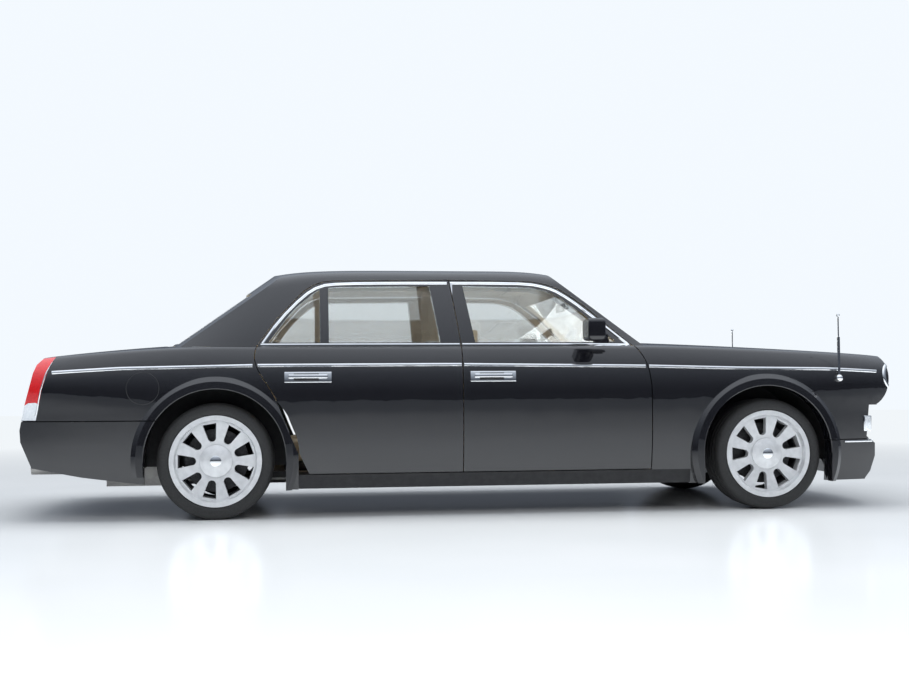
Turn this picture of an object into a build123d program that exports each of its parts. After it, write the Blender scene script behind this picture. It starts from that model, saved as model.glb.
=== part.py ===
from build123d import *
import os
from math import radians, sin, cos, tan, sqrt

os.makedirs("parts", exist_ok=True)

# A full-size four-door limousine, millimetres, +X forward, +Y to the car's left, +Z up.
# The origin is on the ground at the centre of its bounding box.

# Overall sizes
length = 5555.0
wheelbase = 3435.0
front_overhang = 892.5
body_width = 1970.0
lip_width = 2018.0
roof_top = 1566.0
track = 1640.0
door_gap = 6.0
seat_gap = 0.3

# Wheels
tyre_radius = 348.0
tyre_width = 275.0
tyre_shoulder = 28.0
rim_radius = 273.0
bead_radius = 254.0
barrel_wall = 9.0
spoke_count = 9
hub_radius = 96.0
cap_edge = 96.0
cap_rise = 21.0
disc_radius = 190.0
spoke_depth = 42.0

# Arches
arch_radius = 415.0
arch_rise = 14.0
front_arch_shift = -22.0
liner_radius = 446.0
lip_radius = 490.0

# Body heights
body_bottom = 172.0
door_bottom = 266.0
belt_z = 1035.0
moulding_z = 905.0
skin = 15.0
panel = 40.0
roof_wall = 45.0
glass_in = 10.0
glass = 5.0

# Cabin
cabin_half = 850.0
cabin_front = 1180.0
cabin_rear = -1480.0
floor_top = 262.0
floor_wall = 36.0

# Places along the car
nose_x = length / 2
tail_x = -length / 2
front_axle = nose_x - front_overhang
rear_axle = front_axle - wheelbase
half = body_width / 2
lip_half = lip_width / 2
pillar_x = -62.0
fender_line = 1129.0
hinge_half = 997.0

YZ = lambda x: Plane(origin=(x, 0, 0), x_dir=(0, 1, 0), z_dir=(1, 0, 0))
side = Plane.XZ


# Cross-section of the lower body's right half: tucked-in sill, gently rounded flank,
# soft shoulder and crowned top
def crown_arc(y, z, rise):
    r = (y * y + rise * rise) / (2 * rise)
    return ThreePointArc((y, z), (y / 2, z + rise - r + sqrt(r * r - y * y / 4)), (0, z + rise))


def body_section(x, drop, top, crown, inset):
    w = half - drop - inset
    low = body_bottom - (80 if inset else 0)
    high = top - inset
    with BuildSketch(YZ(x)) as s:
        with BuildLine():
            r = Spline((52 - w, low), (8 - w, 470), (-w, 650), (13 - w, 880), (62 - w, high - 26))
            TangentArc((62 - w, high - 26), (104 - w, high), tangent=r % 1)
            crown_arc(104 - w, high, crown)
            Polyline((0, high + crown), (0, low), (52 - w, low))
        make_face()
    return s.sketch.face()


# The flank is straight between the axles and draws in towards the nose and the tail
nose_from = 1132.0
tail_from = -1500.0
nose_narrow, nose_fall = 190.0, 72.0
tail_narrow, tail_fall = 225.0, 90.0
flank_crown = 46.0
nose_steps, tail_steps = 10, 8


def nose_section(i, inset):
    u = i / nose_steps
    x = nose_from + u * (nose_x + 20 - nose_from)
    return body_section(x, nose_narrow * u**5.2, belt_z - nose_fall * u**1.25, flank_crown - 12 * u, inset)


def tail_section(i, inset):
    u = i / tail_steps
    x = tail_from + u * (tail_x - 20 - tail_from)
    return body_section(x, tail_narrow * u**5, belt_z - tail_fall * u**1.6, flank_crown - 20 * u, inset)


def middle(inset, x0, x1):
    with BuildPart() as p:
        extrude(body_section(x0, 0, belt_z, flank_crown, inset), amount=x1 - x0, dir=(1, 0, 0))
    return p.part


def front_volume(inset, last=nose_steps + 1):
    with BuildPart() as p:
        loft(sections=[nose_section(i, inset) for i in range(last)])
    return p.part


def rear_volume(inset, last=tail_steps + 1):
    with BuildPart() as p:
        loft(sections=[tail_section(i, inset) for i in range(last)])
    return p.part


# Cross-section of the greenhouse's right half: leaning side, rounded rail and crowned roof
rail_drop = 123.0
rail_run = 112.0


def roof_section(x, base, rail, top, inset):
    b, r, t = inset - base, inset - rail, top - inset
    rz = t - rail_drop
    with BuildSketch(YZ(x)) as s:
        with BuildLine():
            u = ThreePointArc((b, 1000), ((b + r) / 2 - 14, (1000 + rz) / 2), (r, rz))
            TangentArc((r, rz), (r + rail_run, rz + 77), tangent=u % 1)
            crown_arc(r + rail_run, rz + 77, rail_drop - 77)
            Polyline((0, t), (0, 1000), (b, 1000))
        make_face()
    return s.sketch.face()


roof_mid, roof_front, roof_rear = 80.0, 1218.0, -1930.0
roof_steps_front, roof_steps_rear = 6, 10


def roof_at(i, inset):
    if i >= 0:
        u = i / roof_steps_front
        x = roof_mid + u * (roof_front + 40 - roof_mid)
        fall = 800 * u**4 / (1 + 1.2 * u**4)
        return roof_section(x, 893 - 15 * u**2, 714 - 40 * u**3, roof_top - fall, inset)
    u = -i / roof_steps_rear
    x = roof_mid + u * (roof_rear - 20 - roof_mid)
    fall = 900 * u**6.8 / (1 + 1.5 * u**6.8)
    return roof_section(x, 893 - 60 * u**4, 714 - 70 * u**4, roof_top - fall, inset)


screen_foot = 1218.0
screen_slope = 37.6
screen_round = 3200.0
back_foot = -1905.0
back_slope = 35.4
back_round = 2400.0


# Ring outside a profile that is turned about an upright axis on the car's centreline
def bowed(points, centre, way, turn):
    t = radians(turn)
    lean = Plane(origin=(centre, 0, 0), x_dir=(way * cos(t), -sin(t), 0), z_dir=(-sin(t), -way * cos(t), 0))
    with BuildPart() as p:
        with BuildSketch(lean):
            with BuildLine():
                Polyline([(way * (x - centre), z) for x, z in points], close=True)
            make_face()
        revolve(axis=Axis((centre, 0, 0), (0, 0, 1)), revolution_arc=(turn + 4) * way)
    return p.part


# Conical cutter that leaves a curved screen
def screen_cutter(foot, slope, round_radius, inset, way):
    f = foot - way * inset / sin(radians(slope))
    run = way * 900 / tan(radians(slope))
    points = [(f - run, 1940), (f, 1040), (f + way * 90, 975), (f + way * 900, 975), (f + way * 900, 1940)]
    return bowed(points, foot - way * round_radius, way, 46)


def roof_volume(inset):
    with BuildPart() as p:
        loft(sections=[roof_at(i, inset) for i in range(-roof_steps_rear, roof_steps_front + 1)])
        add(screen_cutter(screen_foot, screen_slope, screen_round, inset, 1), mode=Mode.SUBTRACT)
        add(screen_cutter(back_foot, back_slope, back_round, inset, -1), mode=Mode.SUBTRACT)
    return p.part


# Nose and tail: above the bumper the nose is straight across, the bumpers and the tail bow out in plan
nose_round = 2730.0
tail_round = 4500.0


def nose_cutter():
    n = nose_x
    with BuildPart() as p:
        with BuildSketch(side.offset(-100)):
            with BuildLine():
                Line((n - 64, 1200), (n - 64, 990))
                Spline((n - 64, 990), (n - 30, 945), (n - 14, 860), (n - 28, 761), (n - 78, 686), (n - 125, 655))
                Polyline((n - 125, 655), (n - 125, 648), (n + 300, 648), (n + 300, 1200), (n - 64, 1200))
            make_face()
        extrude(amount=1300)
    low = bowed([(n - 38, 650), (n - 56, 450), (n - 34, 426), (n, 404), (n, 322), (n - 32, 223), (n - 66, 180),
                 (n - 110, 60), (n + 400, 60), (n + 400, 650)], n - nose_round, 1, 25)
    return p.part + low


def tail_cutter():
    t = tail_x
    return bowed([(t + 330, 1200), (t + 215, 990), (t + 140, 972), (t + 96, 930), (t + 74, 880), (t + 26, 686),
                  (t, 540), (t + 5, 470), (t + 69, 317), (t + 350, 262), (t + 812, 200), (t + 812, 60),
                  (t - 500, 60), (t - 500, 1200)], t + tail_round, -1, 25)


def block(x0, x1, y0, y1, z0, z1):
    with BuildPart(Location(((x0 + x1) / 2, (y0 + y1) / 2, (z0 + z1) / 2))) as p:
        Box(x1 - x0, y1 - y0, z1 - z0)
    return p.part


body = middle(0, tail_from, nose_from)
nose = front_volume(0)
tail = rear_volume(0)
front_body = ((body & block(1000, nose_from, -1200, 0, 100, 1200)) + nose) - nose_cutter()
rear_body = ((body & block(tail_from, -900, -1200, 0, 100, 1200)) + tail) - tail_cutter()
body_skin = middle(skin, tail_from, nose_from)
front_inner = middle(panel, 900, nose_from) + front_volume(panel, nose_steps)
rear_inner = middle(panel, tail_from, -800) + rear_volume(panel, tail_steps)
roof_outer = roof_volume(0)
glass_outer = roof_volume(glass_in)
roof_skin = roof_volume(glass_in + glass)
roof_inner = roof_volume(roof_wall)
front_shell = front_body - front_inner
rear_shell = rear_body - rear_inner
roof_shell = roof_outer - roof_inner


# Region between two distances from the centreline on the right, from a side-view sketch
def flank(sketch, inner=560, outer=1200):
    with BuildPart() as p:
        extrude(sketch.face().moved(Location((0, -inner, 0))), amount=outer - inner, dir=(0, -1, 0))
    return p.part


# Upper shut line of the doors, a little above the window frames
rail_back = (-802.0, 1447.0)
pillar_lean = 52.0
frame_top = 1455.0


# Front door from the side; grow moves its edges out, short draws its rear edge forward
def front_door_outline(grow=0.0, short=0.0):
    b = pillar_x + door_gap / 2 - grow + short
    with BuildSketch(side) as s:
        with BuildLine():
            Polyline((fender_line - door_gap - 4 + grow, 664), (fender_line - door_gap - 4 + grow, 420),
                     (fender_line - 12 + grow, door_bottom - grow), (b, door_bottom - grow), (b, 1060),
                     (b - pillar_lean, frame_top + grow), (395, 1448 + grow))
            Spline((395, 1448 + grow), (520, 1425 + grow), (600 + grow, 1392 + grow))
            Polyline((600 + grow, 1392 + grow), (738 + grow, 1296 + grow), (1026 + grow * 1.4, 1040))
            Spline((1026 + grow * 1.4, 1040), (1086 + grow, 944), (1114 + grow, 820),
                   (fender_line - door_gap - 4 + grow, 664), tangents=[(0.75, -1), (0, -1)])
        make_face()
    return s.sketch


# Rear door with its quarter window; its rear edge runs down along the wheel arch
def rear_door_outline(grow=0.0, short=0.0):
    f = pillar_x - door_gap / 2 + grow
    g, h = grow - short, grow - short * 0.7
    with BuildSketch(side) as s:
        with BuildLine():
            Polyline((-996 - g, door_bottom - grow), (f, door_bottom - grow), (f, 1060),
                     (f - pillar_lean, frame_top + grow), (rail_back[0], rail_back[1] + h))
            Spline((rail_back[0], rail_back[1] + h), (-930 - h * 0.3, 1432 + h), (-1040 - h * 0.7, 1364 + h * 0.7))
            Polyline((-1040 - h * 0.7, 1364 + h * 0.7), (-1190 - g, 1203), (-1296 - g, 1052))
            Spline((-1296 - g, 1052), (-1318 - g, 960), (-1213 - g, 755), (-1143 - g, 597), (-996 - g, door_bottom - grow))
        make_face()
    return s.sketch


# Side windows, grown or shrunk by a margin
window_z = 1058.0


def front_window(m=0.0):
    with BuildSketch(side) as s:
        with BuildLine():
            Polyline((28 - m, window_z - m), (930 + m * 2, window_z - m), (740 + m, 1236 + m), (612 + m, 1334 + m))
            Spline((612 + m, 1334 + m), (520 + m * 0.6, 1386 + m), (396, 1412 + m))
            Polyline((396, 1412 + m), (-30 - m, 1419 + m), (28 - m, window_z - m))
        make_face()
    return s.sketch


def rear_window_outline(m=0.0):
    with BuildSketch(side) as s:
        with BuildLine():
            Polyline((-874 - m, window_z - m), (-188 + m, window_z - m), (-240 + m, 1417 + m), (-802, 1410 + m),
                     (-874 - m, 1405 + m), close=True)
        make_face()
    return s.sketch


def quarter_window(m=0.0):
    with BuildSketch(side) as s:
        with BuildLine():
            Polyline((-927 + m, 1393 + m), (-927 + m, window_z - m), (-1240 - m * 2, window_z - m), (-1168 - m, 1158 + m))
            Spline((-1168 - m, 1158 + m), (-1046 - m, 1302 + m), (-927 + m, 1393 + m))
        make_face()
    return s.sketch


# Wheel-arch openings and the flattened lips round them
arch_z = tyre_radius + arch_rise
front_arch = front_axle + front_arch_shift


def arch_hole(x, radius, inner=640.0):
    with BuildPart() as p:
        with BuildSketch(side.offset(inner)):
            with Locations((x, arch_z)):
                Circle(radius)
            with Locations((x, arch_z - 300)):
                Rectangle(2 * radius, 600)
        extrude(amount=1300 - inner)
    return p.part


def arch_lip(x, foot):
    with BuildPart() as p:
        with BuildSketch(Plane(origin=(x, 0, arch_z), x_dir=(1, 0, 0), z_dir=(0, 0, 1))):
            with BuildLine():
                Polyline((arch_radius, -lip_half + 70), (arch_radius, 4 - lip_half), (arch_radius + 5, -lip_half),
                         (lip_radius - 30, 3 - lip_half), (lip_radius, 30 - lip_half), (lip_radius, 70 - lip_half),
                         close=True)
            make_face()
        revolve(axis=Axis((x, 0, arch_z), (0, 1, 0)))
        add(block(x - 800, x + 800, -1100, -900, -500, foot), mode=Mode.SUBTRACT)
    return p.part


# Hood and boot lid from above
hood_rear = 1165.0
hood_bow = 97.0
hood_front = nose_x - 86


def hood_outline(grow=0.0):
    with BuildSketch(Plane.XY) as s:
        with BuildLine():
            ThreePointArc((hood_rear - grow, 772 + grow), (hood_rear + hood_bow - grow, 0), (hood_rear - grow, -772 - grow))
            Polyline((hood_rear - grow, -772 - grow), (2300, -690 - grow), (hood_front + grow, -505 - grow),
                     (hood_front + grow, 505 + grow), (2300, 690 + grow), (hood_rear - grow, 772 + grow))
        make_face()
    return s.sketch


boot_front = -1926.0
boot_side = 745.0
boot_bow = 100.0
boot_low = 690.0


def boot_outline(grow=0.0):
    with BuildSketch(Plane.XY) as s:
        with BuildLine():
            ThreePointArc((boot_front + boot_bow + grow, boot_side + grow), (boot_front + grow, 0),
                          (boot_front + boot_bow + grow, -boot_side - grow))
            Polyline((boot_front + boot_bow + grow, -boot_side - grow), (-2300, -boot_side + 5 - grow),
                     (tail_x + 60, 110 - boot_side - grow), (tail_x - 60, 110 - boot_side - grow),
                     (tail_x - 60, boot_side - 110 + grow), (tail_x + 60, boot_side - 110 + grow),
                     (-2300, boot_side - 5 + grow), (boot_front + boot_bow + grow, boot_side + grow))
        make_face()
    return s.sketch


def column(sketch, z0, z1):
    with BuildPart() as p:
        extrude(sketch.face().moved(Location((0, 0, z0))), amount=z1 - z0, dir=(0, 0, 1))
    return p.part


def pair(solid):
    return solid + mirror(solid, about=Plane.XZ)


def save(thing, name):
    thing.label = name
    export_step(thing, f"parts/{name}.step")


cabin = block(cabin_rear, cabin_front, -cabin_half, cabin_half, floor_top, 1042)
hull = body + roof_outer
hull_skin = body_skin + roof_skin
front_windows = flank(front_window())
rear_windows = flank(rear_window_outline()) + flank(quarter_window())

# Doors: the skin runs to the shut lines, the inner part stops short at the rear edge
shut_depth = 26.0


def door(outline, windows, inner_gap):
    whole = flank(outline(), 640)
    step = whole - flank(outline(-inner_gap, shut_depth - inner_gap), 630, 1300)
    return (hull & whole) - cabin - roof_inner - windows - (step & hull_skin)


front_door = door(front_door_outline, front_windows, 4)
rear_door = door(rear_door_outline, rear_windows, 14)
with BuildPart() as lip_room:
    with BuildSketch(side.offset(920)):
        with Locations((rear_axle, arch_z)):
            Circle(lip_radius + door_gap)
    extrude(amount=200)
rear_door = rear_door - lip_room.part
save(front_door, "front_door_right")
save(mirror(front_door, about=Plane.XZ), "front_door_left")
save(rear_door, "rear_door_right")
save(mirror(rear_door, about=Plane.XZ), "rear_door_left")

front_pane = (glass_outer & flank(front_window(-seat_gap))) - roof_skin
rear_pane = ((glass_outer & flank(rear_window_outline(-seat_gap))) + (glass_outer & flank(quarter_window(-seat_gap)))) - roof_skin
save(front_pane, "front_door_glass_right")
save(mirror(front_pane, about=Plane.XZ), "front_door_glass_left")
save(rear_pane, "rear_door_glass_right")
save(mirror(rear_pane, about=Plane.XZ), "rear_door_glass_left")

# Windscreen and rear window, seen square to the glass, with curved corners
screen_half_low, screen_half_top, screen_low, screen_top = 790.0, 628.0, 60.0, 640.0
back_half_low, back_half_top, back_low, back_top = 660.0, 560.0, 50.0, 620.0


def screen_region(foot, slope, way, low, top, half_low, half_top, bow, m):
    a = radians(slope)
    with BuildPart() as p:
        with BuildSketch(Plane(origin=(foot, 0, 1040), x_dir=(0, way, 0), z_dir=(way * sin(a), 0, cos(a)))):
            with BuildLine():
                ThreePointArc((-half_low - m, low - bow - m), (0, low - m), (half_low + m, low - bow - m))
                Line((half_low + m, low - bow - m), (half_top + m, top - bow / 2 + m))
                ThreePointArc((half_top + m, top - bow / 2 + m), (0, top + m), (-half_top - m, top - bow / 2 + m))
                Line((-half_top - m, top - bow / 2 + m), (-half_low - m, low - bow - m))
            make_face()
        extrude(amount=500, both=True)
    return p.part


def windscreen_region(m=0.0):
    return screen_region(screen_foot, screen_slope, 1, screen_low, screen_top, screen_half_low, screen_half_top, -70, m)


def back_region(m=0.0):
    return screen_region(back_foot, back_slope, -1, back_low, back_top, back_half_low, back_half_top, -60, m)


save(pair((glass_outer & windscreen_region(-seat_gap)) - roof_skin), "windscreen")
save(pair((glass_outer & back_region(-seat_gap)) - roof_skin), "rear_window")

# Roof panel with the windscreen pillars and the broad rear pillars
door_holes = flank(front_door_outline(door_gap), 560) + flank(rear_door_outline(door_gap), 560)
roof = roof_shell - body - nose - tail - door_holes - windscreen_region() - back_region()
roof = roof.solids().sort_by(SortBy.VOLUME)[-1]
save(pair(roof), "roof")

# Front fenders: flank, torpedo-like front and arch lip
bumper_split = 434.0
lamp_y, lamp_z, lamp_radius = 735.0, 815.0, 112.0
hood_hole = column(hood_outline(door_gap), 700, 1300)
boot_hole = column(boot_outline(door_gap), boot_low - door_gap, 1300)
with BuildPart() as lamp_bore:
    with Locations(Location((nose_x - 200, -lamp_y, lamp_z), (0, 90, 0))):
        Cylinder(lamp_radius + seat_gap, 500)
with BuildPart() as lamp_plug:
    with Locations(Location((nose_x - 200, -lamp_y, lamp_z), (0, 90, 0))):
        Cylinder(lamp_radius, 500)

fender = (front_shell & block(900, nose_x + 50, -1100, -490, body_bottom - 20, 1200)) - hood_hole
fender = fender + (arch_lip(front_arch, body_bottom) - front_inner)
fender = fender - flank(front_door_outline(door_gap), 560) - arch_hole(front_arch, arch_radius, 560)
fender = fender - block(900, hood_rear, -770 - seat_gap, 0, 600, 1200)
fender = fender - block(900, front_arch - lip_radius, -1200, -400, 0, door_bottom - door_gap + seat_gap)
fender = fender - block(front_arch, nose_x + 100, -1200, -400, 0, bumper_split)
low_lamp_box = block(nose_x - 240, nose_x + 50, -880, -640, 486, 576)
fender = fender - block(nose_x - 145, nose_x + 100, -1200, -400, 0, 650) - roof_outer - lamp_bore.part - low_lamp_box
fender = fender - block(nose_x - 100, nose_x + 100, -498, -400, 0, 1200)
fender = fender.solids().sort_by(SortBy.VOLUME)[-1]
save(pair(fender), "front_fenders")
save(pair((front_shell & lamp_plug.part)), "headlamps")

# Rear quarter panels with their arch lips
lamp_low = 600.0
with BuildSketch(side) as lamp_side:
    with BuildLine():
        Polyline((-2494, 1100), (-2494, 975), (-2527, 890), (-2560, 782), (-2584, 655), (-2596, lamp_low),
                 (tail_x - 60, lamp_low), (tail_x - 60, 1100), close=True)
    make_face()
tail_lamp_zone = flank(lamp_side.sketch, boot_side - 96)
with BuildSketch(side) as lamp_grown:
    add(lamp_side.sketch)
    offset(amount=seat_gap)
quarter = (rear_shell & block(tail_x - 50, -900, -1100, -boot_side + 115, body_bottom, 1200)) - boot_hole
quarter = quarter + (arch_lip(rear_axle, body_bottom) - rear_inner)
quarter = quarter - flank(rear_door_outline(door_gap), 560) - arch_hole(rear_axle, arch_radius, 560)
quarter = quarter - flank(lamp_grown.sketch, 400) - block(tail_x - 50, rear_axle, -1200, -400, 0, lamp_low - 4)
quarter = quarter - block(-1700, -900, -cabin_half, 0, 100, 1200) - block(rear_axle + lip_radius, -900, -1200, -400, 0, 900) - roof_outer
quarter = quarter.solids().sort_by(SortBy.VOLUME)[-1]

save(pair(quarter), "rear_quarters")
save(pair((rear_shell & tail_lamp_zone & block(tail_x - 50, -2400, -1200, -boot_side + 115, lamp_low, 1200)) - boot_hole), "tail_lamps")

# Hood, hinged at its rear edge, and boot lid, hinged below the rear window
hood_wall = 30.0
hood = (front_shell & column(hood_outline(), 900, 1300)) - block(900, hood_front - 40, -700, 0, 100, 925)
save(pair(hood), "hood")
lid = (rear_shell & column(boot_outline(), boot_low, 1300)) - roof_outer
save(pair(lid), "boot_lid")

# Bumpers, hollow behind their skins
front_nose = (front_shell & block(front_arch, nose_x + 50, -1200, 0, 100, bumper_split - door_gap)) + (
    front_shell & block(nose_x - 145 + seat_gap, nose_x + 50, -1200, 0, 100, 648)) + (
    front_shell & block(hood_front + door_gap, nose_x + 50, -492, 0, 100, 1200))
front_nose = front_nose + ((arch_lip(front_arch, body_bottom) - front_inner) & block(
    front_arch, nose_x, -1200, 0, 100, bumper_split - door_gap))
front_nose = front_nose - arch_hole(front_arch, arch_radius, 560)
grille_half_top, grille_half_low, grille_low, grille_top = 345.0, 285.0, 450.0, 952.0
with BuildPart() as grille_hole:
    with BuildSketch(YZ(nose_x - 200)):
        with BuildLine():
            Polyline((-grille_half_low, grille_low), (grille_half_low, grille_low), (grille_half_top, grille_top - 40),
                     (grille_half_top - 40, grille_top), (40 - grille_half_top, grille_top),
                     (-grille_half_top, grille_top - 40), close=True)
        make_face()
    extrude(amount=300)
front_nose = front_nose - low_lamp_box - grille_hole.part
save(pair(front_nose), "front_bumper")
save(pair(front_shell & block(nose_x - 240 + seat_gap, nose_x + 50, -880 + seat_gap, -640 - seat_gap,
                              486 + seat_gap, 576 - seat_gap)), "lower_lamps")
rear_low = (rear_shell & block(tail_x - 50, rear_axle, -1200, 0, 100, lamp_low - door_gap - 4)) + (
    rear_shell & block(tail_x - 50, tail_x + 130, -boot_side + 121, 0, 100, boot_low - door_gap))
rear_low = rear_low + ((arch_lip(rear_axle, 262) - rear_inner) & block(tail_x, rear_axle, -1200, 0, 100, lamp_low - door_gap - 4))
pipe_y, pipe_z, pipe_radius = 560.0, 300.0, 38.0
with BuildPart() as pipe_hole:
    with Locations(Location((-2400, -pipe_y, pipe_z), (0, 90, 0))):
        Cylinder(pipe_radius + 8, 1000)
rear_low = rear_low - arch_hole(rear_axle, arch_radius, 560) - pipe_hole.part
save(pair(rear_low), "rear_bumper")

# Grille: bright surround, slim upright bars, centre spine and the cross rails that carry them
bar_count, bar_width, bar_depth, surround = 22, 11.0, 34.0, 22.0
with BuildPart() as grille:
    with BuildSketch(YZ(nose_x - 79)):
        with BuildLine():
            Polyline((seat_gap - grille_half_low, grille_low + seat_gap), (grille_half_low - seat_gap, grille_low + seat_gap),
                     (grille_half_top - seat_gap, grille_top - 40), (grille_half_top - 40, grille_top - seat_gap),
                     (40 - grille_half_top, grille_top - seat_gap), (seat_gap - grille_half_top, grille_top - 40),
                     close=True)
        make_face()
        offset(amount=-surround, mode=Mode.SUBTRACT)
    extrude(amount=70)
    for i in range(bar_count):
        f = (i + 0.5) / bar_count * 2 - 1
        with BuildSketch(YZ(nose_x - 72)):
            with BuildLine():
                a, b = f * (grille_half_low - surround), f * (grille_half_top - surround)
                Polyline((a - bar_width / 2, grille_low + 12), (a + bar_width / 2, grille_low + 12),
                         (b + bar_width / 2, grille_top - 12), (b - bar_width / 2, grille_top - 12), close=True)
            make_face()
        extrude(amount=bar_depth)
    for z in (grille_low + 120, grille_top - 140):
        with Locations((nose_x - 72, 0, z)):
            Box(14, 2 * grille_half_low, 10)
    with Locations((nose_x - 42, 0, (grille_low + grille_top) / 2)):
        Box(60, 20, grille_top - grille_low - 24)
save(grille.part, "grille")

# Floor: plate, sills under the doors, tunnel, front rails and the raised floor over the rear axle
sill_in, liner_in, rear_liner_in, kick_x, rear_floor_top = 700.0, 450.0 + seat_gap, 600.0, -1300.0, 440.0
sill = (body + nose) & block(rear_axle + lip_radius + seat_gap, front_arch - lip_radius - seat_gap, -1200, -sill_in,
                             body_bottom + 4, door_bottom - door_gap)
low = floor_top - floor_wall
floor = block(rear_axle + liner_radius + 4, cabin_front + 40, -sill_in - 20, 0, low, floor_top - seat_gap) + sill
floor = floor + block(kick_x - 30, -1000, 4 - rear_liner_in, 0, low, floor_top - seat_gap)
floor = floor + block(kick_x - 30, kick_x, 4 - rear_liner_in, 0, low, rear_floor_top)
floor = floor + block(tail_x + 190, kick_x, seat_gap - rear_liner_in, 0, rear_floor_top - 30, rear_floor_top)
floor = floor + block(-650, cabin_front - seat_gap, -100, 0, floor_top - 10, 400)
floor = floor + block(cabin_front + 24 + seat_gap, nose_x - 190, -450, -390, 330, 430)
floor = floor + block(cabin_front + 24 + seat_gap, cabin_front + 60, -450, -390, low, 430)
save(pair(floor), "floor")

# Bulkhead behind the engine with the cowl under the windscreen, and the one behind the rear seat
cowl = (front_body & block(1010, hood_rear + 140, -770, 0, 900, 1200)) - front_inner - hood_hole - roof_outer
cowl = cowl - flank(front_door_outline(door_gap), 560) - block(hood_rear + 60, hood_rear + 150, -780, -764, 900, 1200)
wall = block(cabin_front, cabin_front + 24, 20 - liner_in, 0, floor_top, 1010) + block(
    cabin_front, cabin_front + 24, 10 - cabin_half, 0, 500, 980) + block(cabin_front, cabin_front + 24, -400, 0, 980, 1050)
wall = wall - hood_hole
firewall = cowl + wall
save(pair(firewall), "firewall")
shelf_z = 975.0
save(pair(block(cabin_rear - 24, cabin_rear - 4, 4 - rear_liner_in, 0, rear_floor_top + seat_gap, shelf_z) + block(
    boot_front + 60, cabin_rear - 4, -690, 0, shelf_z - 22, shelf_z)), "rear_bulkhead")

# Wheelhouses: half-round liners with flat inner walls, open towards the wheels
with BuildPart() as liners:
    for x, inner in ((front_arch, liner_in), (rear_axle, rear_liner_in)):
        with BuildSketch(side.offset(inner)):
            with Locations((x, arch_z)):
                Circle(liner_radius)
        extrude(amount=half - 135 - inner)
        with BuildSketch(side.offset(inner + 6)):
            with Locations((x, arch_z)):
                Circle(liner_radius - 6)
        extrude(amount=half, mode=Mode.SUBTRACT)
    add(block(-3000, 3000, -1200, 0, -300, arch_z - 60), mode=Mode.SUBTRACT)
arm_slots = block(front_axle - 110, front_axle + 110, -500, -400, 180, 560) + block(
    rear_axle - 70, rear_axle + 150, -640, -560, 200, 480)
save(pair(liners.part - arm_slots), "wheelhouses")

# Cabin pillar between the doors, inside them
with BuildPart() as post_zone:
    with BuildSketch(side):
        with BuildLine():
            Polyline((-120, 900), (-10, 900), (-62, 1500), (-150, 1500), close=True)
        make_face()
    extrude(amount=1200)
post = (post_zone.part & roof_inner) - roof_volume(roof_wall + 30) - block(-500, 500, -500, 0, 900, 1600)
post = post + block(-120, -10, -cabin_half + 6, -cabin_half + 40, door_bottom - door_gap + seat_gap, 1010)
save(pair(post), "centre_pillars")

# Dashboard, steering wheel on its column, seats
with BuildPart() as dash:
    with BuildSketch(side):
        with BuildLine():
            Polyline((cabin_front - seat_gap, 966), (960, 966), (905, 930), (880, 860), (905, 740), (1000, 640),
                     (cabin_front - seat_gap, 640), close=True)
        make_face()
        fillet(vertices().sort_by(Axis.X)[:4], 20)
    extrude(amount=cabin_half - 45, both=True)
save(dash.part, "dashboard")
wheel_y, wheel_tilt = 370.0, 24.0
hand = Plane(origin=(760, wheel_y, 850), x_dir=(0, 1, 0), z_dir=(-cos(radians(wheel_tilt)), 0, sin(radians(wheel_tilt))))
with BuildPart() as steering_wheel:
    with BuildSketch(Plane(origin=hand.origin + hand.x_dir * 180, x_dir=hand.x_dir, z_dir=hand.x_dir.cross(hand.z_dir))):
        Circle(14)
    revolve(axis=Axis(hand.origin, hand.z_dir))
    with BuildSketch(hand.offset(-20)):
        Circle(58)
    extrude(amount=30)
    with BuildSketch(hand.offset(-10)):
        with PolarLocations(0, 3, start_angle=90):
            with Locations((100, 0)):
                Rectangle(170, 30)
    extrude(amount=14)
    with BuildSketch(hand.offset(-20)):
        Circle(24)
    extrude(amount=-110)
save(steering_wheel.part, "steering_wheel")


def seat(x, y, wide, back_lean, head_width):
    with BuildPart() as p:
        with BuildSketch(side.offset(-y)):
            with BuildLine():
                Polyline((x + 260, floor_top), (x + 280, 480), (x - 190, 440), (x - 190 - back_lean, 1000),
                         (x - 300 - back_lean, 1000), (x - 330, 420), (x - 290, floor_top), close=True)
            make_face()
            fillet(vertices().filter_by_position(Axis.Z, 400, 1100), 30)
        extrude(amount=wide / 2, both=True)
        with Locations((x - 250 - back_lean, y, 1075)):
            Box(80, head_width, 170)
        fillet(edges().filter_by(Axis.X).group_by(Axis.Z)[-1], 30)
    return p.part


save(pair(seat(470, -370, 520, 150, 250)), "front_seats")
save(seat(-950, 0, 1180, 150, 1040), "rear_seat")

# Engine and gearbox as one plain block on the front subframe, and the exhaust under the floor
engine = block(1300, 1960, -260, 260, 379 + seat_gap, 860) + block(1230, 1310, -150, 150, 420, 620)
save(engine, "engine")
with BuildPart() as exhaust:
    for y in (-170, 170):
        with Locations(Location((-400, y, 192), (0, 90, 0))):
            Cylinder(30, 3200)
    with Locations((-2080, 0, 235)):
        Box(360, 760, 130)
    for y in (-pipe_y, pipe_y):
        with Locations(Location((-2400, y, pipe_z), (0, 90, 0))):
            Cylinder(pipe_radius, 560)
    for y in (-420, 420):
        with Locations((-2130, y, 290)):
            Box(40, 330, 60)
save(exhaust.part, "exhaust")

# Front subframe with its arms, and the rear subframe with hub carriers and half shafts
pin_y = 720.0
hub_y = track / 2 - 26 - seat_gap
ball_low, ball_high = tyre_radius - 150, tyre_radius + 150


def strut(a, b, radius):
    v = Vector(*b) - Vector(*a)
    with BuildPart() as p:
        with BuildSketch(Plane(origin=a, z_dir=v)):
            Circle(radius)
        extrude(amount=v.length)
    return p.part


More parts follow.
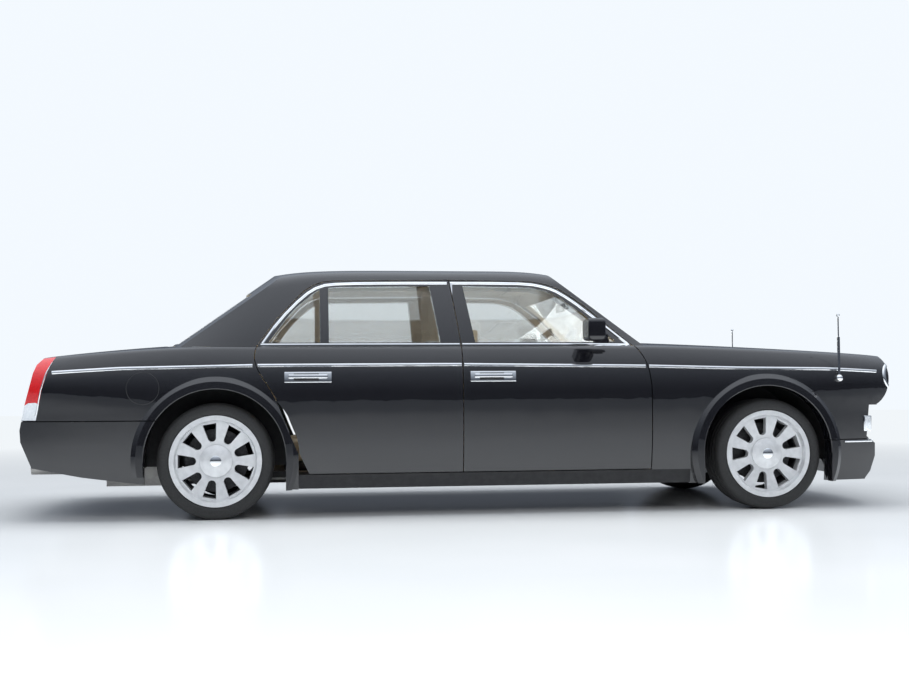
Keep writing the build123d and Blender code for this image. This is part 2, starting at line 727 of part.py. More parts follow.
front_arms = block(front_axle - 90, front_axle + 90, -400, 0, 200, 260) + block(front_axle - 30, front_axle + 30, -389, -330, 200, 520)
for dx in (-150, 150):
    front_arms = front_arms + strut((front_axle + dx * 0.5, -380, 230), (front_axle, -pin_y + 14, ball_low - 13), 20)
front_arms = front_arms + strut((front_axle, -370, 500), (front_axle, -pin_y + 14, ball_high + 10), 18)
front_arms = front_arms + block(front_axle - 40, front_axle + 40, -449, -380, 255, 330 - seat_gap)
save(pair(front_arms) + block(front_axle - 120, front_axle + 60, -200, 200, 255, 379), "front_subframe")

with BuildPart() as knuckle:
    with Locations((front_axle, -pin_y, tyre_radius)):
        Box(60, 56, ball_high - ball_low - 24)
    with Locations(Location((front_axle, (-pin_y - hub_y) / 2, tyre_radius), (90, 0, 0))):
        Cylinder(36, hub_y - pin_y)
    with Locations((front_axle - 80, -pin_y, tyre_radius - 40)):
        Box(150, 24, 26)
save(knuckle.part, "knuckle_right")
save(mirror(knuckle.part, about=Plane.XZ), "knuckle_left")

rear_arms = block(rear_axle - 160, rear_axle + 160, -420, 0, 300, 380) + block(rear_axle - 40, rear_axle + 40, -420, -300, 300, 399)
rear_arms = rear_arms + strut((rear_axle, -200, tyre_radius), (rear_axle, -hub_y, tyre_radius), 30)
rear_arms = rear_arms + block(rear_axle - 50, rear_axle + 50, -720, -670, tyre_radius - 120, tyre_radius + 120)
rear_arms = rear_arms + strut((rear_axle + 100, -380, 330), (rear_axle + 10, -690, tyre_radius - 90), 22)
save(pair(rear_arms), "rear_subframe")

# Wheels: broad wedge spokes with rounded U openings, deep barrel, domed cap and brake disc
spin = Plane(origin=(0, 0, 0), x_dir=(1, 0, 0), z_dir=(0, 0, 1))
w2 = tyre_width / 2
cap_sphere = (hub_radius ** 2 + cap_rise ** 2) / (2 * cap_rise)
cap_middle = cap_edge + cap_rise - cap_sphere + sqrt(cap_sphere ** 2 - hub_radius ** 2 / 4)
with BuildSketch() as opening:
    with BuildLine():
        Polyline((142, 25), (224, 41), (224, -41), (142, -25))
        ThreePointArc((142, -25), (117, 0), (142, 25))
    make_face()
upright = Location((0, 0, 0), (-90, 0, 0))
with BuildPart() as rim_model:
    with BuildSketch(spin):
        with BuildLine():
            Polyline((bead_radius, w2 - 22), (rim_radius, w2 - 22), (rim_radius, w2 - 12), (bead_radius - barrel_wall, w2 - 12),
                     (bead_radius - barrel_wall - 26, 30), (bead_radius - barrel_wall - 26, 12 - w2), (rim_radius, 12 - w2),
                     (rim_radius, 22 - w2), (bead_radius, 22 - w2), (bead_radius, 40 - w2), (bead_radius - 20, 60 - w2),
                     (bead_radius - 20, 20), (bead_radius, 40), close=True)
        make_face()
    revolve(axis=Axis.Y)
    with BuildSketch(spin):
        with BuildLine():
            Polyline((50, 40 + spoke_depth), (50, 34), (bead_radius - 14, 46), (bead_radius - 6, 50 + spoke_depth), close=True)
        make_face()
    revolve(axis=Axis.Y)
    with BuildSketch(Plane.XZ.offset(-26)):
        with PolarLocations(0, spoke_count):
            add(opening.sketch)
    extrude(amount=-90, mode=Mode.SUBTRACT)
    with Locations(Location((0, 25, 0)) * upright):
        Cylinder(72, 90)
    with Locations(Location((0, -12, 0)) * upright):
        Cylinder(disc_radius, 24)
    with BuildSketch(spin):
        with BuildLine():
            Line((0, 60), (hub_radius, 60))
            Line((hub_radius, 60), (hub_radius, cap_edge))
            ThreePointArc((hub_radius, cap_edge), (hub_radius / 2, cap_middle), (0, cap_edge + cap_rise))
            Line((0, cap_edge + cap_rise), (0, 60))
        make_face()
    revolve(axis=Axis.Y)
with BuildPart() as tyre_model:
    with BuildSketch(spin):
        with BuildLine():
            Polyline((bead_radius, 22.3 - w2), (rim_radius + 2, 22.3 - w2), (rim_radius + 2, 8 - w2), (rim_radius + 22, -w2),
                     (tyre_radius - tyre_shoulder, -w2), (tyre_radius - 4, tyre_shoulder - w2), (tyre_radius, tyre_shoulder + 26 - w2),
                     (tyre_radius, w2 - tyre_shoulder - 26), (tyre_radius - 4, w2 - tyre_shoulder), (tyre_radius - tyre_shoulder, w2),
                     (rim_radius + 22, w2), (rim_radius + 2, w2 - 8), (rim_radius + 2, w2 - 22.3), (bead_radius, w2 - 22.3), close=True)
        make_face()
        with BuildLine():
            Polyline((bead_radius + 0.3, 30 - w2), (bead_radius + 0.3, w2 - 30), (bead_radius - 5, w2 - 30), (bead_radius - 5, 30 - w2), close=True)
        make_face(mode=Mode.SUBTRACT)
    revolve(axis=Axis.Y)
for place, x in (("front", front_axle), ("rear", rear_axle)):
    for hand_name, way in (("right", -1), ("left", 1)):
        spot = Location((x, way * track / 2, tyre_radius))
        turn = Location((0, 0, 0), (0, 0, 0 if way > 0 else 180))
        save(rim_model.part.moved(spot * turn), f"rim_{place}_{hand_name}")
        save(tyre_model.part.moved(spot * turn), f"tyre_{place}_{hand_name}")

# Door mirrors on short stalks, flag poles on the front fenders
with BuildPart() as door_mirror:
    with Locations((572 + 167.5, -1052, 1127)):
        Box(110, 190, 136)
    fillet(edges(), 28)
    with Locations((660 + 167.5 - 30, -965, 1078)):
        Box(90, 50, 46)
    with Locations((572 + 167.5 + 70, -935, 1000 + 62)):
        Box(90, 70, 30)
mirror_right = door_mirror.part - body - flank(front_window(40), 500, 960)
save(mirror_right, "mirror_right")
save(mirror(mirror_right, about=Plane.XZ), "mirror_left")
pole_x, pole_y, pole_top, ball_z = 2360.0, 955.0, 1238.0, 822.0
with BuildPart() as pole:
    with Locations((pole_x, -pole_y, ball_z)):
        Sphere(24)
    with BuildSketch(Plane.XY.offset(ball_z)):
        with Locations((pole_x, -pole_y)):
            Circle(9)
    extrude(amount=262)
    with BuildSketch(Plane.XY.offset(ball_z)):
        with Locations((pole_x, -pole_y)):
            Circle(4)
    extrude(amount=pole_top - ball_z - 12)
    with Locations((pole_x, -pole_y, pole_top - 15)):
        Sphere(11)
save(pair(pole.part - nose), "flag_poles")
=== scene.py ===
import bmesh
import bpy
from math import cos, hypot, pi, radians, sin
from mathutils import Matrix, Vector
from mathutils.bvhtree import BVHTree


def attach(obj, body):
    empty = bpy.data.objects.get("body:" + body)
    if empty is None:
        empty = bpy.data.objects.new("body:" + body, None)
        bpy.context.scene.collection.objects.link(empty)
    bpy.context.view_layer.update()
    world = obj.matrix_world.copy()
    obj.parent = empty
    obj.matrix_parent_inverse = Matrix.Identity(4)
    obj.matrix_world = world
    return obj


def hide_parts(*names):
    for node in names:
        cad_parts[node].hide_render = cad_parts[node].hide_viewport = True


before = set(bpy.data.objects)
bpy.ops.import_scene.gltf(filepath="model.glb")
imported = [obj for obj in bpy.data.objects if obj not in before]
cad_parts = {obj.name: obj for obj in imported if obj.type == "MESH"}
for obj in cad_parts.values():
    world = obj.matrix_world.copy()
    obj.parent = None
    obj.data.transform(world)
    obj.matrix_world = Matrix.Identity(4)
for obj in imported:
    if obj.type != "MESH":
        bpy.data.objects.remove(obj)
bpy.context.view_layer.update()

# Camera: low beside the right flank and a little behind the middle of the car,
# where a photographer stands for a full side view.
turn = radians(7.589)
tip = radians(2.369)
lean = radians(-0.41)
ahead = Vector((sin(turn) * cos(tip), cos(turn) * cos(tip), sin(tip)))
level_across = Vector((cos(turn), -sin(turn), 0))
level_above = level_across.cross(ahead)
across = level_across * cos(lean) + level_above * sin(lean)
above = level_above * cos(lean) - level_across * sin(lean)
camera = bpy.data.objects.new("camera", bpy.data.cameras.new("camera"))
bpy.context.scene.collection.objects.link(camera)
camera.data.lens = 49.08
camera.data.sensor_width = 36
camera.data.clip_end = 200
camera.matrix_world = Matrix((across, above, -ahead)).transposed().to_4x4()
camera.location = (-1.1125, -8.465, 0.749)
bpy.context.scene.camera = camera

# Studio floor: pale and polished, with faint clouds in its colour. Far from the car the
# camera sees it melt into the white of the room.
bpy.context.scene.view_settings.view_transform = "Standard"
floor_mesh = bmesh.new()
bmesh.ops.create_circle(floor_mesh, cap_ends=True, segments=96, radius=40)
floor_data = bpy.data.meshes.new("studio_floor")
floor_mesh.to_mesh(floor_data)
studio_floor = bpy.data.objects.new("studio_floor", floor_data)
bpy.context.scene.collection.objects.link(studio_floor)
polished_floor = bpy.data.materials.new("polished_floor")
polished_floor.use_nodes = True
floor_nodes = polished_floor.node_tree.nodes
floor_link = polished_floor.node_tree.links.new
floor_shader = floor_nodes["Principled BSDF"]
floor_shader.inputs["Roughness"].default_value = 0.16
floor_shader.inputs["Specular IOR Level"].default_value = 0.35
floor_place = floor_nodes.new("ShaderNodeTexCoord")
cloud = floor_nodes.new("ShaderNodeTexNoise")
cloud.inputs["Scale"].default_value = 0.7
shades = floor_nodes.new("ShaderNodeValToRGB")
shades.color_ramp.elements[0].color = (0.74, 0.76, 0.76, 1)
shades.color_ramp.elements[1].color = (0.84, 0.85, 0.85, 1)
from_middle = floor_nodes.new("ShaderNodeVectorMath")
from_middle.operation = "LENGTH"
fade = floor_nodes.new("ShaderNodeMapRange")
fade.inputs["From Min"].default_value = 3.5
fade.inputs["From Max"].default_value = 11.0
floor_ray = floor_nodes.new("ShaderNodeLightPath")
glow_share = floor_nodes.new("ShaderNodeMath")
glow_share.operation = "MULTIPLY"
glow = floor_nodes.new("ShaderNodeEmission")
glow.inputs["Color"].default_value = (0.88, 0.92, 0.95, 1)
floor_mix = floor_nodes.new("ShaderNodeMixShader")
floor_link(floor_place.outputs["Object"], cloud.inputs["Vector"])
floor_link(cloud.outputs["Fac"], shades.inputs["Fac"])
floor_link(shades.outputs["Color"], floor_shader.inputs["Base Color"])
floor_link(floor_place.outputs["Object"], from_middle.inputs[0])
floor_link(from_middle.outputs["Value"], fade.inputs["Value"])
floor_link(fade.outputs["Result"], glow_share.inputs[0])
floor_link(floor_ray.outputs["Is Camera Ray"], glow_share.inputs[1])
floor_link(glow_share.outputs[0], floor_mix.inputs[0])
floor_link(floor_shader.outputs[0], floor_mix.inputs[1])
floor_link(glow.outputs[0], floor_mix.inputs[2])
floor_link(floor_mix.outputs[0], floor_nodes["Material Output"].inputs["Surface"])
floor_data.materials.append(polished_floor)

# Studio room: plain white to the camera and through the glass, and darker towards the
# floor in reflections, so that the lacquer shows its form.
room = bpy.data.worlds.new("room")
bpy.context.scene.world = room
room.use_nodes = True
room_nodes = room.node_tree.nodes
room_link = room.node_tree.links.new
reflected_room = room_nodes["Background"]
reflected_room.inputs["Strength"].default_value = 0.9
heading = room_nodes.new("ShaderNodeTexCoord")
heading_parts = room_nodes.new("ShaderNodeSeparateXYZ")
bands = room_nodes.new("ShaderNodeValToRGB")
bands.color_ramp.elements[0].position = 0.05
bands.color_ramp.elements[0].color = (0.07, 0.08, 0.10, 1)
bands.color_ramp.elements[1].position = 0.95
bands.color_ramp.elements[1].color = (1.5, 1.6, 1.75, 1)
middle_band = bands.color_ramp.elements.new(0.40)
middle_band.color = (0.42, 0.47, 0.55, 1)
white_room = room_nodes.new("ShaderNodeBackground")
white_room.inputs["Color"].default_value = (0.90, 0.95, 1.0, 1)
white_room.inputs["Strength"].default_value = 1.0
room_ray = room_nodes.new("ShaderNodeLightPath")
seen_directly = room_nodes.new("ShaderNodeMath")
seen_directly.operation = "MAXIMUM"
room_mix = room_nodes.new("ShaderNodeMixShader")
room_link(heading.outputs["Generated"], heading_parts.inputs[0])
room_link(heading_parts.outputs["Z"], bands.inputs["Fac"])
room_link(bands.outputs["Color"], reflected_room.inputs["Color"])
room_link(room_ray.outputs["Is Camera Ray"], seen_directly.inputs[0])
room_link(room_ray.outputs["Is Transmission Ray"], seen_directly.inputs[1])
room_link(seen_directly.outputs[0], room_mix.inputs[0])
room_link(reflected_room.outputs[0], room_mix.inputs[1])
room_link(white_room.outputs[0], room_mix.inputs[2])
room_link(room_mix.outputs[0], room_nodes["World Output"].inputs["Surface"])

# Studio lights: large soft panels overhead, at both sides and in front. The lacquer
# doesn't mirror them.
for light_name, spot, panel_size, power, aim in (
        ("overhead", (0, 0, 6.5), (9, 5), 520, (0, 0, 0)),
        ("right_side", (-1.0, -9, 5.0), (10, 3), 420, (0, 0, 0.6)),
        ("left_side", (0.5, 9, 5.0), (10, 3), 300, (0, 0, 0.6)),
        ("front", (10, -2, 3.5), (5, 3), 150, (2, 0, 0.6))):
    light_data = bpy.data.lights.new(light_name, "AREA")
    light_data.shape = "RECTANGLE"
    light_data.size, light_data.size_y = panel_size
    light_data.energy = power
    light = bpy.data.objects.new(light_name, light_data)
    bpy.context.scene.collection.objects.link(light)
    light.location = spot
    light.visible_glossy = False
    light.rotation_euler = (Vector(aim) - Vector(spot)).to_track_quat("-Z", "Y").to_euler()

# Painted steel body: doors, fenders, quarters, hood, boot lid, roof and bumpers in
# deep black under clear lacquer. Their inner faces are lined with beige leather and
# cloth in the cabin, and sprayed with underseal elsewhere.
def finish(name, colour, other, scale, rough, bump=0.0, bump_scale=300.0,
           stretch=(1, 1, 1), **shader_values):
    made = bpy.data.materials.new(name)
    made.use_nodes = True
    nodes = made.node_tree.nodes
    link = made.node_tree.links.new
    shader = nodes["Principled BSDF"]
    place = nodes.new("ShaderNodeTexCoord")
    spread = nodes.new("ShaderNodeMapping")
    spread.inputs["Scale"].default_value = stretch
    grain = nodes.new("ShaderNodeTexNoise")
    grain.inputs["Scale"].default_value = scale
    grain.inputs["Detail"].default_value = 4
    tone = nodes.new("ShaderNodeValToRGB")
    tone.color_ramp.elements[0].position = 0.35
    tone.color_ramp.elements[0].color = (*colour, 1)
    tone.color_ramp.elements[1].position = 0.65
    tone.color_ramp.elements[1].color = (*other, 1)
    polish = nodes.new("ShaderNodeMapRange")
    polish.inputs["To Min"].default_value, polish.inputs["To Max"].default_value = rough
    link(place.outputs["Object"], spread.inputs["Vector"])
    link(spread.outputs["Vector"], grain.inputs["Vector"])
    link(grain.outputs["Fac"], tone.inputs["Fac"])
    link(grain.outputs["Fac"], polish.inputs["Value"])
    link(tone.outputs["Color"], shader.inputs["Base Color"])
    link(polish.outputs["Result"], shader.inputs["Roughness"])
    if bump:
        fine = nodes.new("ShaderNodeTexNoise")
        fine.inputs["Scale"].default_value = bump_scale
        relief = nodes.new("ShaderNodeBump")
        relief.inputs["Strength"].default_value = bump
        relief.inputs["Distance"].default_value = 0.001
        link(spread.outputs["Vector"], fine.inputs["Vector"])
        link(fine.outputs["Fac"], relief.inputs["Height"])
        link(relief.outputs["Normal"], shader.inputs["Normal"])
    for socket, value in shader_values.items():
        shader.inputs[socket.replace("_", " ")].default_value = value
    return made


black_paint = finish("black_lacquer", (0.003, 0.003, 0.0045), (0.005, 0.005, 0.007), 900, (0.32, 0.38),
                     Coat_Weight=1.0, Coat_Roughness=0.02, Coat_IOR=1.65, Specular_IOR_Level=0.1)
leather = finish("beige_leather", (0.50, 0.40, 0.27), (0.58, 0.48, 0.34), 14, (0.42, 0.55), 0.35, 900,
                 Specular_IOR_Level=0.4)
lining = finish("beige_headliner", (0.62, 0.55, 0.42), (0.68, 0.60, 0.47), 220, (0.85, 0.95), 0.3, 1500,
                Sheen_Weight=0.25)
underseal = finish("underseal", (0.010, 0.010, 0.011), (0.020, 0.020, 0.021), 30, (0.6, 0.8), 0.5, 250)
carpet = finish("carpet", (0.10, 0.075, 0.05), (0.16, 0.12, 0.08), 400, (0.9, 1.0), 0.6, 900,
                Sheen_Weight=0.3)


def dress(node, outside, inside=None, is_inside=None):
    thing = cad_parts[node]
    thing.data.materials.clear()
    thing.data.materials.append(outside)
    if inside:
        thing.data.materials.append(inside)
    for face in thing.data.polygons:
        face.use_smooth = True
        face.material_index = 1 if inside and is_inside(face.center, face.normal) else 0
    joined = thing.modifiers.new("joined", "WELD")
    joined.merge_threshold = 0.00005
    creases = thing.modifiers.new("creases", "EDGE_SPLIT")
    creases.split_angle = radians(28)


def faces_inward(centre, normal):
    return normal.y * centre.y < -0.3 * abs(centre.y)


def faces_cabin(centre, normal):
    beside_the_seats = centre.z > 0.30 and -1.30 < centre.x < 1.10
    return beside_the_seats and normal.y * centre.y < -0.25 * abs(centre.y)


def faces_down(centre, normal):
    return normal.z < -0.3


def under_roof(centre, normal):
    return faces_down(centre, normal) or faces_inward(centre, normal)


def under_boot_lid(centre, normal):
    return faces_down(centre, normal) or normal.x > 0.5


def faces_back(centre, normal):
    return normal.x < -0.5


def floor_of_cabin(centre, normal):
    return normal.z > 0.5 and abs(centre.y) < 0.86


def shelf_and_back_rest(centre, normal):
    return normal.z > 0.5 or normal.x > 0.5


for node in ("front_door_right", "front_door_left", "rear_door_right", "rear_door_left"):
    dress(node, black_paint, leather, faces_cabin)
dress("roof", black_paint, lining, under_roof)
dress("hood", black_paint, underseal, faces_down)
dress("boot_lid", black_paint, underseal, under_boot_lid)
for node in ("front_fenders", "rear_quarters", "front_bumper", "rear_bumper"):
    dress(node, black_paint, underseal, faces_inward)
dress("firewall", black_paint, leather, faces_back)
dress("floor", underseal, carpet, floor_of_cabin)
dress("rear_bulkhead", underseal, lining, shelf_and_back_rest)
dress("wheelhouses", underseal)
dress("centre_pillars", lining)

# Window glass: laminated panes with a light green tint, set into the roof's openings
# and into the doors.
clear_glass = finish("green_glass", (0.93, 0.985, 0.955), (0.95, 0.995, 0.97), 2, (0.0, 0.015),
                     Transmission_Weight=1.0, IOR=1.45, Alpha=0.45)
for node in ("windscreen", "rear_window", "front_door_glass_right", "front_door_glass_left",
             "rear_door_glass_right", "rear_door_glass_left"):
    dress(node, clear_glass)

# Bright mouldings: polished steel strips clipped along the belt line, round the door
# frames and under the windows, each cut at the shut lines and laid on its own panel.
chrome = finish("chrome", (0.80, 0.81, 0.82), (0.86, 0.87, 0.88), 8, (0.04, 0.10), Metallic=1.0)


def surface_of(*names):
    corners = []
    facets = []
    for name in names:
        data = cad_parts[name].data
        start = len(corners)
        corners += [v.co.copy() for v in data.vertices]
        facets += [[start + i for i in p.vertices] for p in data.polygons]
    return BVHTree.FromPolygons(corners, facets)


def beside(surface, side, x, z):
    hit, normal, _, _ = surface.ray_cast(Vector((x, side * 1.4, z)), Vector((0, -side, 0)))
    if hit is None:
        hit, normal, _, _ = surface.find_nearest(Vector((x, side * 0.9, z)))
    return hit, normal if normal.y * side > 0 else -normal


def shown(name, mesh, body, material):
    bmesh.ops.remove_doubles(mesh, verts=mesh.verts, dist=0.00002)
    bmesh.ops.recalc_face_normals(mesh, faces=mesh.faces)
    data = bpy.data.meshes.new(name)
    mesh.to_mesh(data)
    mesh.free()
    data.materials.append(material)
    for face in data.polygons:
        face.use_smooth = True
    piece = bpy.data.objects.new(name, data)
    bpy.context.scene.collection.objects.link(piece)
    creases = piece.modifiers.new("creases", "EDGE_SPLIT")
    creases.split_angle = radians(35)
    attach(piece, body)
    return piece


def along(line, share):
    spans = [hypot(b[0] - a[0], b[1] - a[1]) for a, b in zip(line, line[1:])]
    left = share * sum(spans)
    for (a, b), span in zip(zip(line, line[1:]), spans):
        if left <= span or (a, b) == (line[-2], line[-1]):
            f = left / span
            spot = (a[0] + (b[0] - a[0]) * f, a[1] + (b[1] - a[1]) * f)
            return *spot, (b[0] - a[0]) / span, (b[1] - a[1]) / span
        left -= span


def softened(line):
    between = [(a[0] + (b[0] - a[0]) * f, a[1] + (b[1] - a[1]) * f)
               for a, b in zip(line, line[1:]) for f in (0.25, 0.75)]
    return [line[0]] + between + [line[-1]]


def moulding(name, surface, side, line, width, crown, body, material, steps, find=beside):
    lift = 0.0006
    mesh = bmesh.new()
    bmesh.ops.create_grid(mesh, x_segments=steps, y_segments=6, size=0.5)
    for v in mesh.verts:
        x, z, dx, dz = along(line, v.co.x + 0.5)
        w = v.co.y * 2
        hit, normal = find(surface, side, x - dz * w * width / 2, z + dx * w * width / 2)
        v.co = hit + normal * (lift + crown * (1 - w ** 4))
    strip = shown(name, mesh, body, material)
    backing = strip.modifiers.new("backing", "SOLIDIFY")
    backing.thickness = 0.0025
    backing.offset = -1
    strip.modifiers.move(1, 0)


belt_line = [(-2.517, 0.881), (-2.106, 0.903), (-1.289, 0.918), (-0.116, 0.919), (1.114, 0.904),
             (1.699, 0.889), (2.303, 0.882), (2.660, 0.866)]
belt_width = 0.020
belt_crown = 0.007
trim_crown = 0.005
frame_width = 0.017
sill_width = 0.015
sill_height = 1.045
front_frame_line = [(-0.108, 1.438), (0.150, 1.439), (0.396, 1.436), (0.515, 1.412), (0.594, 1.378),
                    (0.728, 1.283), (1.004, 1.046)]
rear_frame_line = [(-0.128, 1.438), (-0.45, 1.437), (-0.800, 1.432), (-0.925, 1.418), (-1.028, 1.352),
                   (-1.176, 1.196), (-1.276, 1.052)]
front_sill_line = [(-0.054, sill_height), (0.500, sill_height), (1.012, 1.041)]
rear_sill_line = [(-1.286, sill_height), (-0.070, sill_height)]


def belt_height(x):
    for (x0, z0), (x1, z1) in zip(belt_line, belt_line[1:]):
        if x <= x1:
            return z0 + (z1 - z0) * (x - x0) / (x1 - x0)
    return belt_line[-1][1]


sides = (("right", -1), ("left", 1))
for hand, side in sides:
    front_door = f"door_front_{hand}"
    rear_door = f"door_rear_{hand}"
    for panel, body, end, x0, x1 in (("front_fenders", "car_body", "front", 1.108, 2.655),
                                     (f"front_door_{hand}", front_door, "middle", -0.054, 1.086),
                                     (f"rear_door_{hand}", rear_door, "middle", -1.302, -0.070),
                                     ("rear_quarters", "car_body", "rear", -2.50, -1.332)):
        places = [x0 + (x1 - x0) * i / 12 for i in range(13)]
        run = [(x, belt_height(x)) for x in places]
        moulding(f"belt_moulding_{body}_{hand}_{end}", surface_of(panel), side, run,
                 belt_width, belt_crown, body, chrome, 72)
    front_skin = surface_of(f"front_door_{hand}")
    rear_skin = surface_of(f"rear_door_{hand}")
    moulding(f"front_frame_{hand}", front_skin, side, softened(front_frame_line),
             frame_width, trim_crown, front_door, chrome, 90)
    moulding(f"rear_frame_{hand}", rear_skin, side, softened(rear_frame_line),
             frame_width, trim_crown, rear_door, chrome, 90)
    moulding(f"front_window_sill_{hand}", front_skin, side, front_sill_line,
             sill_width, trim_crown, front_door, chrome, 40)
    moulding(f"rear_window_sill_{hand}", rear_skin, side, rear_sill_line,
             sill_width, trim_crown, rear_door, chrome, 40)

# Door handles: cast and chromed, a lever on two studs across a rounded plate. Behind the lever a thin dark
# sheet lies on the plate, painted shade where a finger recess would be. Each is screwed to its door's skin.
handle_height = 0.845
lever_height = 0.848
stud_reach = 0.105


def bevelled_box(size, bevel):
    mesh = bmesh.new()
    bmesh.ops.create_cube(mesh, size=1)
    bmesh.ops.scale(mesh, vec=size, verts=mesh.verts)
    bmesh.ops.bevel(mesh, geom=mesh.edges[:], offset=bevel, affect="EDGES", segments=3, profile=0.5,
                    material=-1)
    return mesh


def laid_box(size, bevel, x, z, surface, side, stand):
    mesh = bevelled_box(size, bevel)
    hit, normal = beside(surface, side, x, z)
    turned = Vector((0, side, 0)).rotation_difference(normal).to_matrix().to_4x4()
    bmesh.ops.transform(mesh, matrix=Matrix.Translation(hit + normal * stand) @ turned, verts=mesh.verts)
    return mesh


# Near-black finish for the wipers, screens, radiator core and fuel flap shut line; on the door handles it is
# painted shade for the finger recesses.
black_and_recess_shade = finish("black_and_recess_shade", (0.012, 0.012, 0.013), (0.02, 0.02, 0.021), 60, (0.35, 0.5))
for hand, side in sides:
    for place, x in (("front", 0.123), ("rear", -1.003)):
        skin = surface_of(f"{place}_door_{hand}")
        body = f"door_{place}_{hand}"
        plate = laid_box((0.284, 0.012, 0.066), 0.005, x, handle_height, skin, side, 0.001)
        shown(f"handle_plate_{place}_{hand}", plate, body, chrome)
        # Thin dark sheet on the plate under the lever: painted shade standing for the finger recess.
        recess_shade_sheet = laid_box((0.150, 0.003, 0.044), 0.0014, x - 0.01, handle_height, skin, side, 0.0078)
        shown(f"handle_recess_shade_{place}_{hand}", recess_shade_sheet, body, black_and_recess_shade)
        lever = laid_box((0.236, 0.012, 0.024), 0.0055, x, lever_height, skin, side, 0.017)
        shown(f"handle_lever_{place}_{hand}", lever, body, chrome)
        for end, offset in (("a", -stud_reach), ("b", stud_reach)):
            stud = laid_box((0.022, 0.016, 0.022), 0.004, x + offset, lever_height, skin, side, 0.009)
            shown(f"handle_stud_{place}_{hand}_{end}", stud, body, chrome)

# Wheels: cast aluminium with broad spokes and a domed cap, the iron brake disc behind,
# and a plain bright disc on the hub. Tyres are black rubber, moulded with shaped
# sidewalls and four grooves round the tread.
silver = finish("cast_silver", (0.60, 0.61, 0.62), (0.68, 0.69, 0.70), 30, (0.34, 0.42), 0.03, 1200,
                Metallic=0.45)
brake_iron = finish("brake_iron", (0.035, 0.035, 0.037), (0.06, 0.06, 0.062), 80, (0.4, 0.55),
                    Metallic=0.6)
rubber = finish("tyre_rubber", (0.012, 0.012, 0.012), (0.022, 0.022, 0.022), 90, (0.55, 0.75), 0.25, 700)
axle_height = 0.348
half_track = 0.82
behind_spokes = 0.042
brake_reach = 0.236
half_tyre = [(0.252, -0.112), (0.276, -0.120), (0.280, -0.130), (0.292, -0.1365), (0.306, -0.1375),
             (0.320, -0.1355), (0.330, -0.130), (0.337, -0.124), (0.338, -0.121), (0.3435, -0.114),
             (0.3458, -0.098), (0.346, -0.080), (0.3395, -0.079), (0.3395, -0.069), (0.347, -0.068),
             (0.3478, -0.036), (0.340, -0.035), (0.340, -0.024), (0.3478, -0.023), (0.348, 0.0)]
tyre_profile = half_tyre + [(r, -y) for r, y in reversed(half_tyre[:-1])]
disc_profile = [(0.0, 0.1195), (0.030, 0.1190), (0.0335, 0.1165), (0.0335, 0.112), (0.0, 0.112)]


def spun(profile, closed, steps, centre):
    mesh = bmesh.new()
    ring = [mesh.verts.new((r, y, 0)) for r, y in profile]
    following = ring[1:] + ring[:1] if closed else ring[1:]
    edges = [mesh.edges.new(pair) for pair in zip(ring, following)]
    bmesh.ops.spin(mesh, geom=ring + edges, axis=(0, 1, 0), cent=(0, 0, 0), dvec=(0, 0, 0),
                   angle=2 * pi, steps=steps, use_merge=True)
    bmesh.ops.translate(mesh, vec=centre, verts=mesh.verts)
    return mesh


for place, x in (("front", 1.885), ("rear", -1.550)):
    for hand, side in sides:
        body = f"wheel_{place}_{hand}"
        wheel_centre = (x, side * half_track, axle_height)

        def on_brake_disc(centre, normal):
            inside = (centre.y * side - half_track) < behind_spokes
            return inside and hypot(centre.x - x, centre.z - axle_height) < brake_reach

        dress(f"rim_{place}_{hand}", silver, brake_iron, on_brake_disc)
        tyre = shown(f"tyre_{place}_{hand}_rubber", spun(tyre_profile, True, 112, wheel_centre), body,
                     rubber)
        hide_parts(f"tyre_{place}_{hand}")
        outward_disc = [(r, y * side) for r, y in disc_profile]
        shown(f"hub_disc_{place}_{hand}", spun(outward_disc, False, 48, wheel_centre), body, chrome)

# Lamps: round headlamps, tall red tail lamps with a clear foot, small lower lamps in the
# front bumper and clear corner lamps in bright bezels, all of moulded plastic.
lamp_clear = finish("lamp_glass", (0.72, 0.76, 0.80), (0.88, 0.90, 0.92), 120, (0.05, 0.12), 0.4, 160,
                    Metallic=0.4, Coat_Weight=1.0)
lamp_red = finish("red_lens", (0.42, 0.006, 0.008), (0.62, 0.012, 0.014), 180, (0.12, 0.2), 0.3, 260,
                  Coat_Weight=1.0)


def headlamp_shell(centre, normal):
    return abs(normal.y) > 0.42 or normal.z < -0.4 or normal.z > 0.5


def tail_lamp_foot(centre, normal):
    return centre.z < 0.70


dress("headlamps", lamp_clear, black_paint, headlamp_shell)
dress("lower_lamps", lamp_clear)
dress("tail_lamps", lamp_red, lamp_clear, tail_lamp_foot)
corner_x = 2.572
corner_z = 0.531
fender_skin = surface_of("front_fenders")
bumper_skin = surface_of("front_bumper")
bumper_line = [(2.40, 0.418), (2.60, 0.418), (2.70, 0.418)]
for hand, side in sides:
    bezel = laid_box((0.062, 0.014, 0.100), 0.005, corner_x, corner_z, fender_skin, side, 0.002)
    shown(f"corner_lamp_bezel_{hand}", bezel, "car_body", chrome)
    corner = laid_box((0.050, 0.014, 0.088), 0.005, corner_x, corner_z, fender_skin, side, 0.005)
    shown(f"corner_lamp_{hand}", corner, "car_body", lamp_clear)
    moulding(f"bumper_strip_{hand}", bumper_skin, side, bumper_line, 0.016, 0.006, "car_body", chrome, 30)

# Lamp rings and strips: pressed bright rings round the headlamps, fine strips along the
# tail lamps, and one broad strip across the boot lid.
ring_y = 0.735
ring_z = 0.815
ring_radius = 0.104
tail_lamp_edge = [(-2.497, 0.958), (-2.534, 0.884), (-2.566, 0.780), (-2.590, 0.655), (-2.600, 0.625)]
lid_strip_line = [(-0.60, 0.868), (0.60, 0.868)]


def facing(surface, way, y, z):
    hit, normal, _, _ = surface.ray_cast(Vector((way * 3.2, y, z)), Vector((-way, 0, 0)))
    if hit is None or abs(hit.x) < 2.3:
        hit, normal, _, _ = surface.find_nearest(Vector((way * 2.75, y, z)))
    return hit, normal if normal.x * way > 0 else -normal


